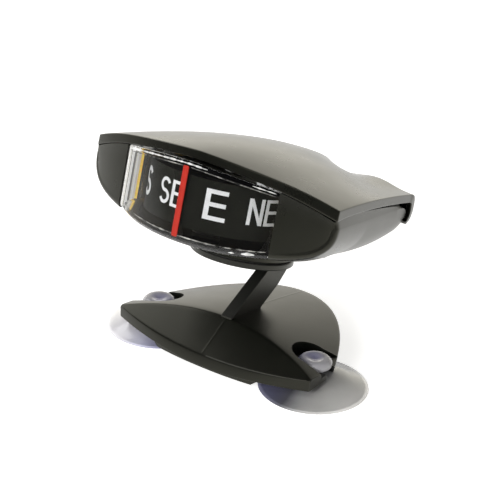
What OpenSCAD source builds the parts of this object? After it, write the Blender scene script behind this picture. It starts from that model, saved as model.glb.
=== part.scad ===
// Car dashboard compass: a liquid capsule with a drum card, in a streamlined two-shell head
// that swivels on a tilted disc, over a low faceted foot with two suction cups.
// The foot stands on z = 0 with +Z up, and the window faces -Y.

/* [Placement] */
// Distance from the suction cup line to the middle of the whole object, front to back
middle_y = 7.3; // [0:0.1:15]
// Height of the swivel disc's centre above the suction cup rims
swivel_z = 40.9; // [36:0.1:46]
// Distance of the swivel disc's centre behind the suction cup line
swivel_y = 2.5; // [0:0.1:6]
// Lean of the swivel axis, rear edge down
swivel_lean = 14; // [0:0.5:20]

/* [Head shells] */
// Half width of the head at its front corners
head_half = 53.2; // [45:0.1:60]
// Narrowing of each side per millimetre towards the rear
side_taper = 0.1365; // [0:0.005:0.2]
// Front edge of the brow at the middle
brow_y = -39.6; // [-44:0.1:-36]
// How far the brow curves back at its corners
brow_sweep = 11; // [6:0.5:14]
// Height of the brow band at the middle
brow_band = 2.8; // [2:0.1:4]
// Height of the rim band along the sides
rim_band = 3.3; // [2:0.1:5]
// Height of the crease along the sides
crease_z = 34.6; // [33:0.1:36]
// Rear end of the two lobes
lobe_end_y = 45.4; // [44:0.1:47]
// Depth of the shallow bay between the rear lobes
bay_depth = 1; // [0:0.1:2]
// Wall thickness of both shells
shell_wall = 2; // [1.4:0.1:2.4]
// Depth of the belly below the seam line, at its deepest
belly_depth = 22.6; // [21:0.1:23.5]

/* [Capsule] */
// Half width of the clear window
window_half = 33.2; // [30:0.1:35]
// Front of the window at the middle
window_y = -45; // [-47:0.1:-43]
// Radius of the window's curve, seen from above
window_r = 61; // [55:1:80]
// Wall thickness of the clear capsule
capsule_wall = 2; // [1.6:0.1:2.6]
// Open rear end of the clear capsule
capsule_end_y = 5; // [4.6:0.1:7]
// Width of the red lubber line
lubber_w = 2.4; // [1.5:0.1:3]

/* [Card] */
// Distance of the card's axis in front of the swivel axis
card_y = -19.6; // [-19.6:0.1:-19]
// Radius of the drum card
card_r = 23; // [20:0.1:23]
// Height of the drum's skirt
card_h = 18.5; // [14:0.5:20]

/* [Stand] */
// Radius of the swivel disc
disc_r = 19.6; // [18:0.1:21]
// Thickness of the swivel disc
disc_t = 2.3; // [2:0.1:3]
// Thickness of the arm, side to side
arm_t = 5; // [4:0.1:8]
// Half width of the foot at its front tips
foot_half = 44.7; // [42:0.1:48]
// Front of the foot at the middle
foot_front = -21.5; // [-24:0.1:-19]
// Rear of the foot at the middle
foot_rear = 47.4; // [44:0.1:50]
// Height of the foot's ridge at the middle
ridge_z = 17.8; // [15:0.1:19]
// Height of the foot's underside
foot_low = 4; // [3:0.1:5]

/* [Suction cups] */
// Distance of each cup from the middle
cup_x = 37; // [36:0.1:38]
// Radius of a cup's rim
cup_r = 20.6; // [18:0.1:21]
// Radius of the head that hooks into the foot
cup_head_r = 6.5; // [5.5:0.1:7]
// Top of the cup's head
cup_top = 12.1; // [11.4:0.1:12.8]

/* [Hidden] */
black = [0.11, 0.11, 0.10];
clear = [0.80, 0.84, 0.86];
brass = [0.78, 0.62, 0.30];
steel = [0.70, 0.71, 0.72];
fine = 96;

// The crowned surface's own frame: t runs from 0 at the brow to 1 at the rear
crown_front = -40;
crown_len = 80;
// Where the sides reach head_half, and the rounded rear lip's centre and lower edge
corner_y = -28.5;
nose_y = 39.2;
nose_bay_y = 42.6;
nose_z = 26.8;
lip_z = 21.2;
nose_turn = 160;
// Grid of the shells: columns across, rows front to rear, and rows round the rear lip
cols = 22;
crown_rows = 13;
nose_rows = 8;
belly_rows = 13;
// The brow leans forward by this much at its lower edge
brow_lean = 0.8;
// Line that the belly is measured down from
belly_line = 27.4;
// Clearance of the seam at the front, and how much it opens towards the rear
seam_gap = 0.15;
seam_open = 1.4;

function mix(a, b, t) = a + (b - a) * t;
function clamp01(t) = max(0, min(1, t));
function half_w(y) = head_half - side_taper * (y - corner_y);
function side_z(y) = crease_z - 0.0009 * y * y;
function brow_at(x) = brow_y + brow_sweep * pow(x / head_half, 2);
function band_at(x) = mix(brow_band, rim_band + 0.6, pow(x / head_half, 2));
function bay_share(x) = 0.5 + 0.5 * cos(180 * clamp01(abs(x) / 20.5));
function nose_at(x) = mix(nose_y, nose_bay_y, bay_share(x));

// Crown of the top shell: flat wings, a middle hump that narrows rearwards and two rear lobes
function crown(x, y) =
    let (t = (y - crown_front) / crown_len, r = min(1, abs(x) / half_w(y)),
        wing = 1.8 + 1.25 * t - 2.2 * t * t,
        hump = 6.55 + 6.05 * t - 8.5 * t * t,
        spread = 57 - 31 * t - 17.8 * t * t,
        sharp = 1.56 + 1.32 * t,
        lobe = 2.15 * pow(max(t, 0), 3) * exp(-pow((abs(x) - 28.3) / 9.2, 2)))
    side_z(y) + wing * (1 - r * r)
        + (hump * exp(-pow(abs(x) / spread, sharp)) + lobe) * (1 - pow(r, 6));

// Belly of the lower shell: a boat section that gets squarer and shallower rearwards
function belly_half(y) = half_w(y) + mix(0.6, -1.2, clamp01((y - corner_y) / 66));
function belly_at(x, y) =
    let (r = min(1, abs(x) / belly_half(y)), front = 0.5 - 0.5 * cos(180 * clamp01((-y - 12) / 23)),
        p = 2.3 + 0.3 * front + 2.7 * pow(max(y, 0) / 40, 1.3),
        depth = belly_depth - (y < 0 ? 4.8 * front : 0.35 * y * y / (y + 12)))
    belly_line + 0.01 * (y - corner_y) - depth * pow(1 - pow(r, p), 1 / p);

// A closed solid between two grids of points that have the same rows and columns
module between(upper, lower) {
    m = len(upper);
    n = len(upper[0]);
    s = m * n;
    e = (m - 1) * n;
    polyhedron(
        points = concat([for (r = upper) each r], [for (r = lower) each r]),
        faces = concat(
            [for (j = [0:m - 2]) for (i = [0:n - 2]) let (k = j * n + i) each [
                [k, k + n, k + n + 1], [k, k + n + 1, k + 1],
                [s + k, s + k + n + 1, s + k + n], [s + k, s + k + 1, s + k + n + 1]]],
            [for (i = [0:n - 2]) each [
                [i, i + 1, s + i + 1], [i, s + i + 1, s + i],
                [e + i, s + e + i + 1, e + i + 1], [e + i, s + e + i, s + e + i + 1]]],
            [for (j = [0:m - 2]) let (k = j * n, q = k + n - 1) each [
                [k, s + k + n, k + n], [k, s + k, s + k + n],
                [q, q + n, s + q + n], [q, s + q + n, s + q]]]));
}

// Places a piece given in the head's own frame, whose z axis is the swivel axis
module on_head() {
    translate([0, swivel_y - middle_y, swivel_z]) rotate([-swivel_lean, 0, 0]) children();
}
module on_floor() {
    translate([0, -middle_y, 0]) children();
}
module both_sides() {
    children();
    mirror([1, 0, 0]) children();
}

// Skin of the top shell at a column and row, sunk by d: brow band, crown, rim bands, rear lip.
// Its columns crowd to the middle, where the hump narrows.
function skin(i, j, d) =
    let (rim = i == 0 || i == cols, u = 2 * clamp01((i - 1) / (cols - 2)) - 1,
        a = sign(u) * pow(abs(u), 1.3), xf = (head_half - d) * a, yf = brow_at(xf) + d)
    j == 0 ? [xf * (rim ? 1 : 0.985), yf - brow_lean * (rim ? 0.3 : 1),
        crown(xf, yf - d) - band_at(xf)]
    : j <= crown_rows + 1 ? let (s = (j - 1) / crown_rows, y = mix(yf, nose_at(xf), s),
        x = (half_w(y) - d) * a)
        [x, y + (rim ? 0.8 * (1 - s) : 0), rim ? side_z(y) - rim_band : crown(x, y) - d]
    : let (turn = nose_turn * (j - crown_rows - 1) / nose_rows, start = nose_at(xf),
        x = (half_w(start) - d) * a * (1 - (rim ? 0.01 : 0.025) * pow(sin(min(turn, 90)), 2)),
        cut = rim ? rim_band : d,
        reach = lobe_end_y - bay_depth * bay_share(x) - start - cut,
        rise = turn < 90 ? crown(x, start) - nose_z - cut : (nose_z - lip_z) * 1.1 - cut * 0.4)
        [x, start + reach * pow(sin(turn), 0.85), nose_z + rise * cos(turn)];

module top_shell() {
    grid_rows = crown_rows + 1 + nose_rows;
    color(black) on_head() {
        between([for (j = [0:grid_rows]) [for (i = [0:cols]) skin(i, j, 0)]],
            [for (j = [0:grid_rows]) [for (i = [0:cols]) skin(i, j, shell_wall)]]);
        both_sides() for (p = post_spots) screw_boss(p);
    }
}

// Screw posts that join the two shells, at these places on each side
post_spots = [[41, -16], [33, 27]];
post_r = 4;
seam_z = 30.6;
pilot_r = 1.25;
function boss_top(p) = crown(p[0] + post_r * 0.7, p[1]) - 0.7 * shell_wall;
module screw_boss(p) {
    top = boss_top(p);
    translate([p[0], p[1], seam_z - 4]) difference() {
        cylinder(r = post_r - 0.6, h = top - seam_z + 4, $fn = 32);
        translate([0, 0, -1]) cylinder(r = pilot_r, h = top - seam_z + 3, $fn = 32);
    }
}

// Upper and lower faces of the lower shell's solid, sunk by d; the belly's columns crowd to the sides
lower_end_y = 40.4;
function lower_y(x, j, d) = mix(brow_at(x) - brow_lean + d, lower_end_y - d, j / belly_rows);
function lower_point(i, j, d, top) =
    let (a = sin(90 * (2 * i / cols - 1)), s = j / belly_rows,
        y = lower_y((head_half + 1) * a, j, d),
        half = belly_half(y) - d, x = half * a,
        close = pow(clamp01((y + d - 34) / 6.4), 2.5),
        seam = side_z(y) - rim_band - seam_gap - seam_open * clamp01((y + 10) / 45),
        low = belly_at(a * belly_half(y), y) + d)
    [x * (top ? 0.985 : 1), y, top ? mix(seam, 24.5, close * 0.8) : mix(low, 24, close * 0.5)];

module lower_block(d, lift) {
    translate([0, 0, lift]) between(
        [for (j = [0:belly_rows]) [for (i = [0:cols]) lower_point(i, j, d, true)]],
        [for (j = [0:belly_rows]) [for (i = [0:cols]) lower_point(i, j, d, false)]]);
}

lower_shell_r = disc_r - 0.2;
boss_low = 2.7;
boss_seat = 4.6;
screw_shank_r = 4;
running_fit = 0.06;
rotor_spots = [[-13, 22], [13, 22]];
rotor_r = 3.2;
module lower_shell() {
    color(black) on_head() difference() {
        union() {
            difference() {
                lower_block(0, 0);
                difference() {
                    lower_block(shell_wall, 0.02);
                    both_sides() translate([window_half + 0.2, -50, 0]) cube([1.8, 53 + capsule_end_y, 40]);
                    both_sides() for (p = post_spots) translate([p[0], p[1], 0])
                        cylinder(r = post_r, h = 40, $fn = 32);
                    translate([-40, capsule_end_y + 3.1, 0]) cube([80, 1.8, 14]);
                }
            }
            cheeks();
            translate([0, 0, boss_low]) cylinder(r = lower_shell_r, h = 6, $fn = fine);
            both_sides() translate([foot_x, block_y + 7, pad_pilot_low])
                cylinder(r = pad_r, h = block_low - pad_pilot_low, $fn = 32);
        }
        both_sides() translate([foot_x, block_y + 7, pad_pilot_low]) cylinder(r = 1, h = 10, $fn = 32);
        capsule_space();
        both_sides() for (p = post_spots) post_bore(p);
        translate([0, 0, boss_seat]) cylinder(r = 9, h = 4.5, $fn = 64);
        cylinder(r = screw_shank_r + running_fit, h = 10, $fn = 64);
        for (p = rotor_spots) translate([p[0], p[1], 0])
            cylinder(r = rotor_r + running_fit, h = 20, $fn = 48);
    }
}
// Front faces beside the window, up to the brow
module cheeks() {
    function edge(x, dy, dz) = [x, brow_at(x) - brow_lean + dy, dz];
    xs = [for (k = [0:6]) mix(window_half + 0.2, head_half + 0.3, k / 6)];
    both_sides() between(
        [for (dy = [0, 1.6]) [for (x = xs) edge(x, dy, crown(x, brow_at(x)) - band_at(x) - seam_gap)]],
        [for (dy = [0, 1.6]) [for (x = xs) edge(x, dy, belly_line)]]);
}
module post_bore(p) {
    translate([p[0], p[1], 0]) {
        cylinder(r = 1.7, h = 40, $fn = 32);
        cylinder(r = 3.2, h = belly_at(p[0], p[1]) + 3.4, $fn = 32);
        translate([0, 0, seam_z - 4.2]) cylinder(r = post_r - 0.5, h = 12, $fn = 32);
    }
}

// Front view of the capsule, shrunk by d, with its floor flush with the belly's front
function capsule_low(x) = belly_at(x, -38) - 0.3 + 0.5 * pow(x / window_half, 2);
function capsule_high(x) = crown(x, brow_at(x)) - band_at(x) - 0.4;
module capsule_profile(d) {
    n = 12;
    half = window_half - d;
    polygon(concat([for (k = [-n:n]) [half * k / n, capsule_low(half * k / n) + d]],
        [for (k = [n:-1:-n]) [half * k / n, capsule_high(half * k / n) - d]]));
}
module along_y(y0, y1) {
    translate([0, y1, 0]) rotate([90, 0, 0]) linear_extrude(y1 - y0) children();
}
module capsule_plan(d, y1) {
    intersection() {
        translate([0, window_y + window_r]) circle(r = window_r - d, $fn = 180);
        translate([-window_half + d, window_y]) square([2 * (window_half - d), y1 - window_y]);
    }
}
module capsule_block(d, y1) {
    intersection() {
        along_y(window_y - 1, y1) capsule_profile(d);
        linear_extrude(50) capsule_plan(d, y1);
    }
}
// Front end of the belly under the capsule
belly_lip_y = -27;
module capsule_space() {
    along_y(-60, capsule_end_y + 3.1) intersection() {
        capsule_profile(-0.12);
        translate([-window_half - 0.2, 0]) square([2 * window_half + 0.4, 60]);
    }
    translate([-window_half - 0.2, -60, 0]) cube([2 * window_half + 0.4, 60 + belly_lip_y, 14]);
}
// Bevel along the lower front edge
capsule_bevel = 1.4;
module capsule_bevel_cut() {
    function front(x) = window_y + window_r - sqrt(window_r * window_r - x * x);
    xs = [for (k = [-9:9]) (window_half + 1) * k / 9];
    between([for (e = [-1, capsule_bevel + 1])
            [for (x = xs) [x, front(x) + e, capsule_low(x) + capsule_bevel - e]]],
        [for (e = [-1, capsule_bevel + 1])
            [for (x = xs) [x, front(x) + e, capsule_low(x) - 1.2]]]);
}
module capsule_body() {
    color(clear) on_head() difference() {
        capsule_block(0, capsule_end_y);
        capsule_bevel_cut();
        capsule_block(capsule_wall, capsule_end_y + 1);
    }
}
gasket_t = 0.5;
back_t = 2.4;
plug_spot = [-20, 26];
diaphragm_spot = [14, 23];
module capsule_gasket() {
    color([0.15, 0.15, 0.15]) on_head() along_y(capsule_end_y, capsule_end_y + gasket_t)
        difference() {
            capsule_profile(0.1);
            capsule_profile(capsule_wall);
        }
}
module capsule_back() {
    y0 = capsule_end_y + gasket_t;
    color(black) on_head() difference() {
        along_y(y0, y0 + back_t) capsule_profile(0.1);
        along_y(y0 - 1, y0 + back_t + 1) translate(plug_spot) circle(r = 3, $fn = 48);
        along_y(y0 + 1, y0 + back_t + 1) translate(diaphragm_spot) circle(r = 8, $fn = 64);
        along_y(y0 - 1, y0 + 2) translate(diaphragm_spot) circle(r = 6, $fn = 64);
    }
}
module filler_plug() {
    y0 = capsule_end_y + gasket_t;
    color(black) on_head() {
        along_y(y0 + 0.2, y0 + back_t) translate(plug_spot) circle(r = 3, $fn = 48);
        along_y(y0 + back_t, y0 + back_t + 0.7) translate(plug_spot) circle(r = 4.2, $fn = 48);
    }
}
module expansion_diaphragm() {
    y0 = capsule_end_y + gasket_t + 1;
    color([0.2, 0.2, 0.2]) on_head() translate([diaphragm_spot[0], y0, diaphragm_spot[1]])
        rotate([-90, 0, 0]) rotate_extrude($fn = 64)
            polygon([[0, 0], [2, 0], [3, 0.6], [4, 0], [5, 0], [8, 0], [8, 0.8], [5, 0.8], [4, 0.7],
                [3, 1.3], [2, 0.7], [0, 0.7]]);
}
lubber_low = 11.3;
lubber_high = 36.5;
module lubber_line() {
    color([0.75, 0.16, 0.09]) on_head() intersection() {
        translate([-lubber_w / 2, window_y - 1, lubber_low]) cube([lubber_w, 4, lubber_high - lubber_low]);
        difference() {
            translate([0, window_y + window_r, 0]) cylinder(r = window_r + 0.3, h = 50, $fn = 180);
            translate([0, window_y + window_r, -1]) cylinder(r = window_r, h = 52, $fn = 180);
        }
    }
}

// Card, pivot and magnets, round an axis parallel to the swivel axis
card_low = 15;
pin_tip = 27;
post_foot_r = 4.4;
post_floor = capsule_low(post_foot_r) + capsule_wall + 0.05;
module on_card() {
    on_head() translate([0, card_y, 0]) children();
}
module pivot_post() {
    floor_z = post_floor;
    color(black) on_card() difference() {
        union() {
            translate([0, 0, floor_z]) cylinder(r = post_foot_r, h = 1.6, $fn = 48);
            translate([0, 0, floor_z]) cylinder(r1 = 3, r2 = 1.6, h = 12, $fn = 48);
        }
        translate([0, 0, floor_z + 6]) cylinder(r = 0.6, h = 10, $fn = 32);
    }
}
module pivot_pin() {
    low = post_floor + 6;
    color(steel) on_card() {
        translate([0, 0, low]) cylinder(r = 0.6, h = pin_tip - 1.4 - low, $fn = 32);
        translate([0, 0, pin_tip - 1.4]) cylinder(r1 = 0.6, r2 = 0.2, h = 1.4, $fn = 32);
    }
}
module jewel_cup() {
    color([0.6, 0.1, 0.2]) on_card() difference() {
        translate([0, 0, pin_tip - 1]) cylinder(r = 1.5, h = 2, $fn = 32);
        translate([0, 0, pin_tip - 1.1]) cylinder(r1 = 1.1, r2 = 0.26, h = 1.15, $fn = 32);
    }
}
hub_low = 24.5;
hub_top = 31;
module card_hub() {
    color(black) on_card() difference() {
        union() {
            translate([0, 0, hub_low]) cylinder(r = 3.2, h = hub_top - hub_low, $fn = 48);
            translate([0, 0, hub_top - 2]) cylinder(r = 6, h = 1, $fn = 48);
        }
        translate([0, 0, hub_low - 1]) cylinder(r = 1.5, h = pin_tip + 2 - hub_low, $fn = 32);
    }
}
module card_drum() {
    web_z = hub_top - 1;
    color(black) on_card() difference() {
        translate([0, 0, card_low]) cylinder(r = card_r, h = card_h, $fn = fine);
        translate([0, 0, card_low - 1]) cylinder(r = card_r - 1, h = web_z - card_low + 1, $fn = fine);
        translate([0, 0, web_z + 1]) cylinder(r = card_r - 1, h = 10, $fn = fine);
        translate([0, 0, web_z - 1]) cylinder(r = 3.2, h = 3, $fn = 48);
        for (a = [45:90:315]) rotate(a) translate([14, 0, web_z - 1]) cylinder(r = 4.5, h = 3, $fn = 32);
    }
}
magnet_r = 1.5;
module card_magnets() {
    color(steel) on_card() both_sides()
        translate([7.5, 12, hub_top - 1 - magnet_r]) rotate([90, 0, 0]) cylinder(r = magnet_r, h = 24, $fn = 32);
}

// Compensator: two brass rotors behind the capsule, turned from below with a screwdriver
block_low = 15.5;
block_h = 9;
block_y = 15;
foot_x = 21;
pad_r = 3.5;
pad_pilot_low = 12;
module compensator_block() {
    color(black) on_head() difference() {
        translate([-foot_x - 4, block_y, block_low]) cube([2 * foot_x + 8, 14, block_h]);
        for (p = rotor_spots) translate([p[0], p[1], 0]) {
            cylinder(r = 4.3, h = block_low + 5.5, $fn = 48);
            cylinder(r = 1.5 + running_fit, h = 40, $fn = 32);
        }
        both_sides() translate([foot_x, block_y + 7, 0]) cylinder(r = 1.2, h = 40, $fn = 32);
    }
}
module rotor(p) {
    low = belly_at(p[0], p[1]) - 0.3;
    on_head() translate([p[0], p[1], 0]) difference() {
        union() {
            translate([0, 0, low]) cylinder(r = rotor_r, h = block_low - 1 - low, $fn = 48);
            translate([0, 0, block_low - 1]) cylinder(r = 4.2, h = 6.4, $fn = 48);
            translate([0, 0, block_low + 5]) cylinder(r = 1.5, h = block_h - 5, $fn = 32);
        }
        translate([-rotor_r - 1, -0.5, low - 1]) cube([2 * rotor_r + 2, 1, 2.2]);
        rotate(p[0] > 0 ? 90 : 0) translate([-5, 0, block_low + 2.2]) rotate([0, 90, 0])
            cylinder(r = 1, h = 10, $fn = 32);
    }
}
module rotor_magnet(p) {
    color(steel) on_head() translate([p[0], p[1], block_low + 2.2]) rotate(p[0] > 0 ? 90 : 0)
        translate([-4, 0, 0]) rotate([0, 90, 0]) cylinder(r = 1, h = 8, $fn = 32);
}
module compensator_ns() {
    color(brass) rotor(rotor_spots[0]);
}
module compensator_ew() {
    color(brass) rotor(rotor_spots[1]);
}
module compensator_magnet_ns() {
    rotor_magnet(rotor_spots[0]);
}
module compensator_magnet_ew() {
    rotor_magnet(rotor_spots[1]);
}

// A slotted screw along +Z with its head's face at z = 0
module screw(r, length, head_r, head_t) {
    difference() {
        union() {
            cylinder(r = head_r, h = head_t, $fn = 48);
            cylinder(r = r, h = length, $fn = 32);
        }
        translate([-head_r - 1, -0.4, -1]) cube([2 * head_r + 2, 0.8, 1 + head_t * 0.5]);
    }
}
module block_screws() {
    top = block_low + block_h + 1.2;
    color(steel) on_head() both_sides() translate([foot_x, block_y + 7, top])
        rotate([180, 0, 0]) screw(1, top - pad_pilot_low - 0.1, 2.2, 1.2);
}
module shell_screws() {
    color(steel) on_head() both_sides() for (p = post_spots)
        translate([p[0], p[1], belly_at(p[0], p[1]) + 1.4])
            screw(pilot_r, boss_top(p) - 3.8 - belly_at(p[0], p[1]), 3, 2);
}
screw_head_r = 7;
screw_head_t = 1.6;
washer_t = 0.5;
module swivel_screw() {
    top = boss_seat + washer_t + screw_head_t;
    color(steel) on_head() translate([0, 0, top]) rotate([180, 0, 0]) difference() {
        union() {
            cylinder(r = screw_head_r, h = screw_head_t, $fn = 64);
            cylinder(r = screw_shank_r, h = top - disc_t, $fn = 64);
            cylinder(r = 2, h = top + 1.8, $fn = 32);
        }
        translate([-8, -0.6, -1]) cube([16, 1.2, 1.8]);
    }
}
module spring_washer() {
    color(steel) on_head() translate([0, 0, boss_seat]) difference() {
        cylinder(r = 8, h = washer_t, $fn = 64);
        translate([0, 0, -1]) cylinder(r = screw_shank_r + 0.3, h = 3, $fn = 64);
    }
}
module thrust_washer() {
    color([0.3, 0.3, 0.3]) on_head() translate([0, 0, disc_t]) difference() {
        cylinder(r = disc_r - 1.4, h = boss_low - disc_t, $fn = fine);
        translate([0, 0, -1]) cylinder(r = screw_shank_r + 0.3, h = 3, $fn = 64);
    }
}

// Foot: two front facets below a curved ridge, two rear facets behind it, and a rim all round
foot_cols = 20;
foot_rows = 9;
rim_front_z = 8.2;
rim_tip_z = 11.2;
rim_rear_z = 9.2;
foot_wall = 2.2;
plate_top = 9;
neck_r = 3.5;
pocket_r = 7.7;
pocket_x = 35.2;
pocket_y = 0.8;
cell_clear = 17;
relief_z = 6.3;
function front_line(r) = foot_front + 7.1 * pow(abs(r), 2.2);
function rear_line(x) = foot_rear - 0.0202 * x * x - 1.6e-6 * pow(x, 4);
function ridge_y(r) = -5.3 - 8.5 * r * r;
function ridge_height(r) = ridge_z - 6.4 * r * r;
function foot_top(r, j) =
    let (x = foot_half * r, front = front_line(r) + 1.2 * (1 - r * r),
        rim = mix(rim_front_z, rim_tip_z, r * r), f = (j - 2) / (foot_rows - 2))
    j == 0 ? [x, front, rim]
    : j == 1 ? [x, mix(front, ridge_y(r), 0.5), mix(rim, ridge_height(r), 0.5)]
    : [x, mix(ridge_y(r), rear_line(x), f), mix(ridge_height(r), rim_rear_z, pow(f, 1.25))];
function foot_floor(r, j) =
    let (x = foot_half * r, z = foot_low + 2.6 * pow(clamp01((abs(r) - 0.2) / 0.8), 0.9))
    [x, j == 0 ? front_line(r) : j == foot_rows ? rear_line(x) - 0.5 : foot_top(r, j)[1], z];
module foot_block() {
    rs = [for (i = [0:foot_cols]) 2 * i / foot_cols - 1];
    between([for (j = [0:foot_rows]) [for (r = rs) foot_top(r, j)]],
        [for (j = [0:foot_rows]) [for (r = rs) foot_floor(r, j)]]);
}
// Height of the foot's top at a point
function foot_z(x, y) =
    let (r = x / foot_half, top = ridge_height(r), front = front_line(r), back = rear_line(x))
    y < ridge_y(r) ? mix(mix(rim_front_z, rim_tip_z, r * r), top, (y - front) / (ridge_y(r) - front))
    : mix(top, rim_rear_z, pow((y - ridge_y(r)) / (back - ridge_y(r)), 1.25));
// Cored-out cells of the underside, between ribs, where the foot is thick enough
cell = 8.4;
cell_pitch = 9.6;
module cells() {
    c = cell / 2;
    for (x = [-3:3], y = [-1:4]) {
        cx = x * cell_pitch;
        cy = y * cell_pitch + 1.9;
        out = abs(cx) + c;
        top = min([for (px = [cx - c, cx + c], py = [cy - c, cy + c]) foot_z(px, py)]) - foot_wall;
        away = norm([abs(cx) - pocket_x, cy - pocket_y]);
        if (cy - c > front_line(out / foot_half) + foot_wall && cy + c < rear_line(out) - foot_wall
                && away > cell_clear && top > foot_low + 1.5)
            translate([cx - c, cy - c, foot_low - 2]) cube([cell, cell, top - foot_low + 2]);
    }
}
// Lower core of the foot, set in from the rim and cut away round the cups
module plinth() {
    xs = [for (i = [-12:12]) 3 * i];
    difference() {
        translate([0, 0, foot_low - 1]) linear_extrude(3.8) polygon(concat(
            [for (x = xs) [x, front_line(x / foot_half) + 1]],
            [for (x = xs) [-x, rear_line(x) - 2]]));
        both_sides() translate([cup_x, 0, 0]) cylinder(r1 = 27, r2 = 16, h = 12, $fn = fine);
    }
}
module foot() {
    difference() {
        union() {
            foot_block();
            plinth();
        }
        cells();
        both_sides() cup_mount();
    }
}
// Pocket for a cup's head, slot for its neck, and room for its dome
module cup_mount() {
    translate([0, 0, plate_top]) linear_extrude(20) {
        translate([pocket_x, pocket_y]) circle(r = pocket_r, $fn = 72);
        polygon([[pocket_x, pocket_y - pocket_r], [50, -7.2], [50, 14], [pocket_x, pocket_y + pocket_r]]);
    }
    linear_extrude(20) {
        translate([cup_x, 0]) circle(r = neck_r, $fn = 48);
        translate([cup_x, -neck_r]) square([20, 2 * neck_r]);
    }
    translate([cup_x, 0, 0]) cylinder(r1 = 26, r2 = 9, h = relief_z, $fn = fine);
}

// Side profile of the arm: a strut that leans back and curls up under the disc
module arm_profile() {
    polygon([[-6, 12], [-5.6, 18.2], [15.4, 29.3], [18.6, 31.8], [19.6, 34.5], [18.5, 36.9], [8, 39.6],
        [8, 40.6], [18, 38.1], [24, 36.9], [29, 34.8], [31.6, 31.6], [31.6, 28.6], [29.8, 25.6],
        [24.3, 21.3], [13.6, 15.6], [12, 12]]);
}
module stand() {
    color(black) {
        on_floor() foot();
        on_floor() translate([arm_t / 2, 0, 0]) rotate([90, 0, -90]) mirror([1, 0, 0])
            linear_extrude(arm_t) arm_profile();
        on_head() difference() {
            union() {
                cylinder(r = disc_r, h = disc_t, $fn = fine);
                translate([0, 0, -2.4]) cylinder(r = 5, h = 4, $fn = 64);
            }
            translate([0, 0, -1.9]) cylinder(r = 2, h = 10, $fn = 32);
        }
    }
}

// Suction cup: a thin dome, a neck and a bevelled head with a dimple
module suction_cup() {
    rotate_extrude($fn = fine) polygon([
        [0, 3.6], [4, 3.3], [9, 2.4], [14, 1.1], [cup_r - 1.5, 0], [cup_r - 0.5, 0], [cup_r, 0.25],
        [cup_r - 0.4, 0.8], [15, 2.9], [10.5, 4.7], [7, 5.8], [neck_r + 0.6, relief_z], [neck_r, relief_z],
        [neck_r, plate_top], [cup_head_r, plate_top], [cup_head_r, cup_top - 1.3],
        [cup_head_r - 1.5, cup_top], [3.2, cup_top], [0, cup_top - 0.9]]);
}
module suction_cup_left() {
    color(clear) on_floor() translate([-cup_x, 0, 0]) suction_cup();
}
module suction_cup_right() {
    color(clear) on_floor() translate([cup_x, 0, 0]) suction_cup();
}

top_shell();
lower_shell();
capsule_body();
capsule_gasket();
capsule_back();
filler_plug();
expansion_diaphragm();
lubber_line();
pivot_post();
pivot_pin();
jewel_cup();
card_hub();
card_drum();
card_magnets();
compensator_block();
compensator_ns();
compensator_ew();
compensator_magnet_ns();
compensator_magnet_ew();
block_screws();
shell_screws();
swivel_screw();
spring_washer();
thrust_washer();
stand();
suction_cup_left();
suction_cup_right();
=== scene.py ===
import math

import bmesh
import bpy
from mathutils import Matrix, Vector
from mathutils.geometry import tessellate_polygon


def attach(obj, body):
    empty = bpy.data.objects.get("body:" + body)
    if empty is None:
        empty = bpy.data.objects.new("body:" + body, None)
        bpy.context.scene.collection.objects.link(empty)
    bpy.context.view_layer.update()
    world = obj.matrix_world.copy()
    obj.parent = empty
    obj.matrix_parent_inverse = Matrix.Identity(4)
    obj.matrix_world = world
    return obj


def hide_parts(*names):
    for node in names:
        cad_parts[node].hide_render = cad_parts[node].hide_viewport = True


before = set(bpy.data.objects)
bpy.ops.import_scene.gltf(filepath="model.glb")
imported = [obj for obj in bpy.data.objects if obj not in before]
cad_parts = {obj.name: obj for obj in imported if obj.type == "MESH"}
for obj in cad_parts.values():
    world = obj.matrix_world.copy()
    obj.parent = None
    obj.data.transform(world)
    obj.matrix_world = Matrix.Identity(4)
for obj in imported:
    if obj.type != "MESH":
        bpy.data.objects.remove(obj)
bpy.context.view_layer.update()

# Sizes are in millimetres; those that the part's source also has are the same there.
# The head has a frame of its own: x to the side, y backwards, z up the leaning swivel axis.
MM = 0.001
MIDDLE_Y, SWIVEL_Y, SWIVEL_Z = 7.3, 2.5, 40.9
LEAN = math.radians(14)

# Head: its outline, brow and rim bands, and the rear lip with a shallow bay between two lobes
HEAD_HALF, SIDE_TAPER, CORNER_Y = 53.2, 0.1365, -28.5
BROW_Y, BROW_SWEEP, BROW_BAND, BROW_LEAN = -39.6, 11, 2.8, 0.8
RIM_BAND, BAND_FLARE, CREASE_Z, CREASE_FALL = 3.3, 0.6, 34.6, 0.0009
LOBE_X, LOBE_SPREAD, LOBE_RISE = 28.3, 9.2, 2.15
LOBE_END_Y, BAY_DEPTH, BAY_HALF = 45.4, 1, 20.5
NOSE_Y, NOSE_BAY_Y, NOSE_Z, LIP_Z, NOSE_TURN = 39.2, 42.6, 26.8, 21.2, 160
WALL = 2

# Lower shell: belly, seam under the top shell, and what is cut out of it
BELLY_DEPTH, BELLY_LINE, BELLY_SLOPE, LOWER_END_Y = 22.6, 27.4, 0.01, 40.4
SEAM_GAP, SEAM_OPEN, CHEEK_ROLL, TAIL_Z = 0.15, 1.4, 2.2, 24
SEAT_R, SEAT_LOW, SEAT_HIGH, BORE_R = 9, 4.6, 9.1, 4.06
ROTOR_R, ROTOR_SPOTS = 3.26, ((-13, 22), (13, 22))
RECESS_R, RECESS_DEPTH = 3.2, 3.4
POST_SPOTS = ((41, -16), (33, 27), (-41, -16), (-33, 27))

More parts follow.
